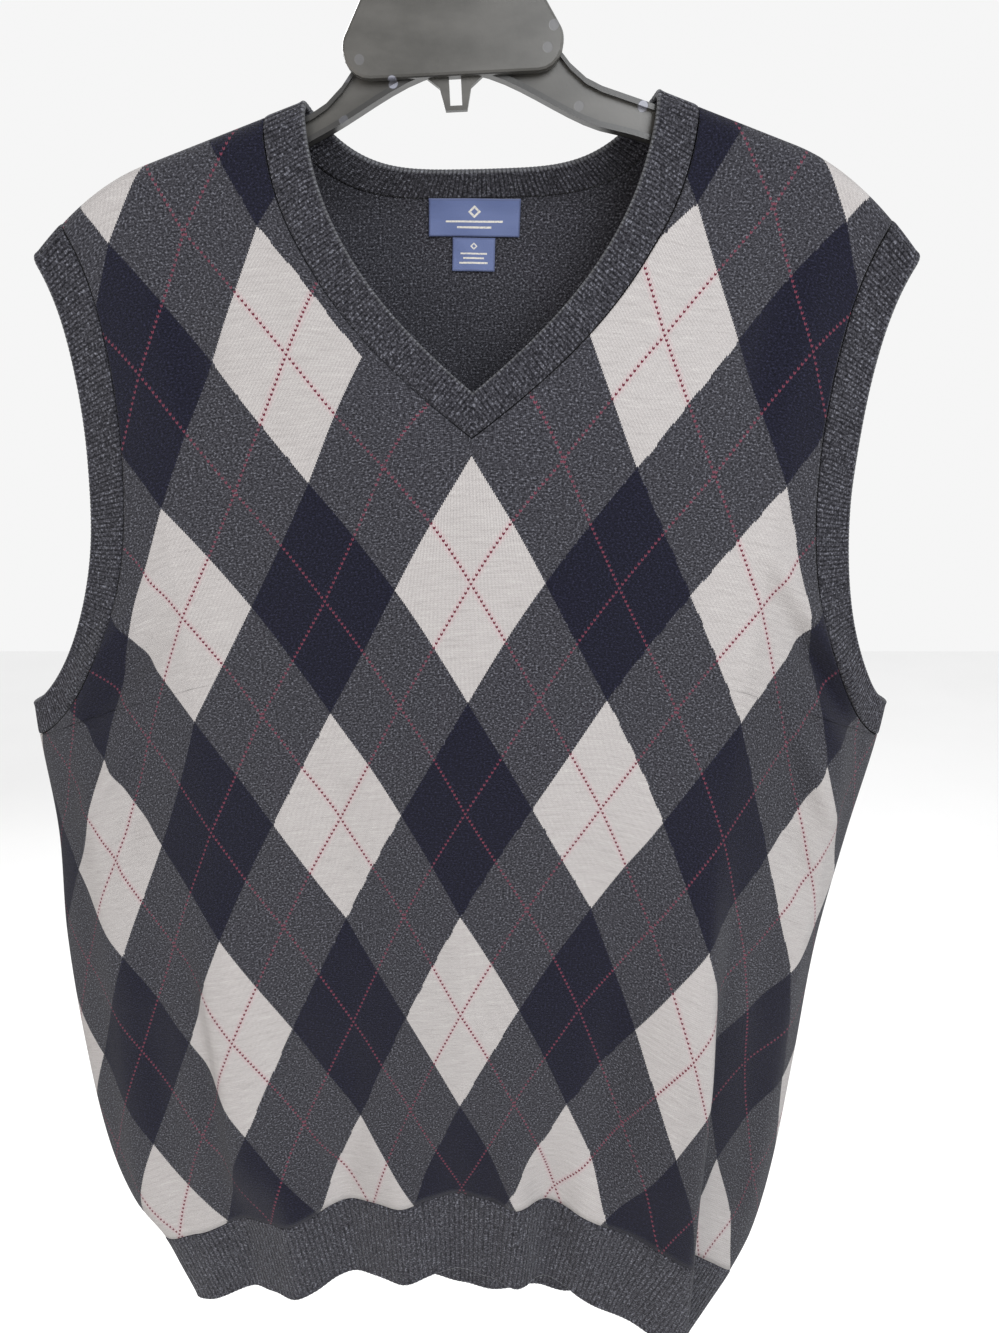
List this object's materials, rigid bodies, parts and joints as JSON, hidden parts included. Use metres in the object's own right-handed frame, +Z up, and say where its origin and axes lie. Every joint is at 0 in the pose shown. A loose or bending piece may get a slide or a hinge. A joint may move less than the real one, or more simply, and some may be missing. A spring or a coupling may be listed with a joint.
{
  "type": "sweater vest on a hanger",
  "caption": "Knitted V-neck sweater vest with an argyle front and ribbed neck, arm bands and hem, hung on a moulded plastic shop hanger by its hook.",
  "frame": {"origin": "where the top of the hook's inside rests on its rail", "axes": "+Z up; the front of the vest faces -Y; +X is to the right seen from the front"},
  "size_m": [0.4971, 0.0917, 0.908],
  "materials": {
    "argyle_knit": "fine plain knit in charcoal, navy and light grey diamonds with a thin red overcheck",
    "plain_knit": "fine plain knit in charcoal heather",
    "rib_knit": "one by one rib in charcoal heather",
    "woven_label": "woven blue label",
    "moulded_plastic": "glossy dark moulding"
  },
  "bodies": {
    "root": {"front": "argyle_knit", "back": "plain_knit", "neck_band": "rib_knit", "arm_band_left": "rib_knit", "arm_band_right": "rib_knit", "hem_rib_front": "rib_knit", "hem_rib_back": "rib_knit", "label_main": "woven_label", "label_size": "woven_label", "hanger_frame": "moulded_plastic", "hanger_plate": "moulded_plastic", "hanger_tab": "moulded_plastic", "hanger_hook": "moulded_plastic"}
  },
  "joints": []
}
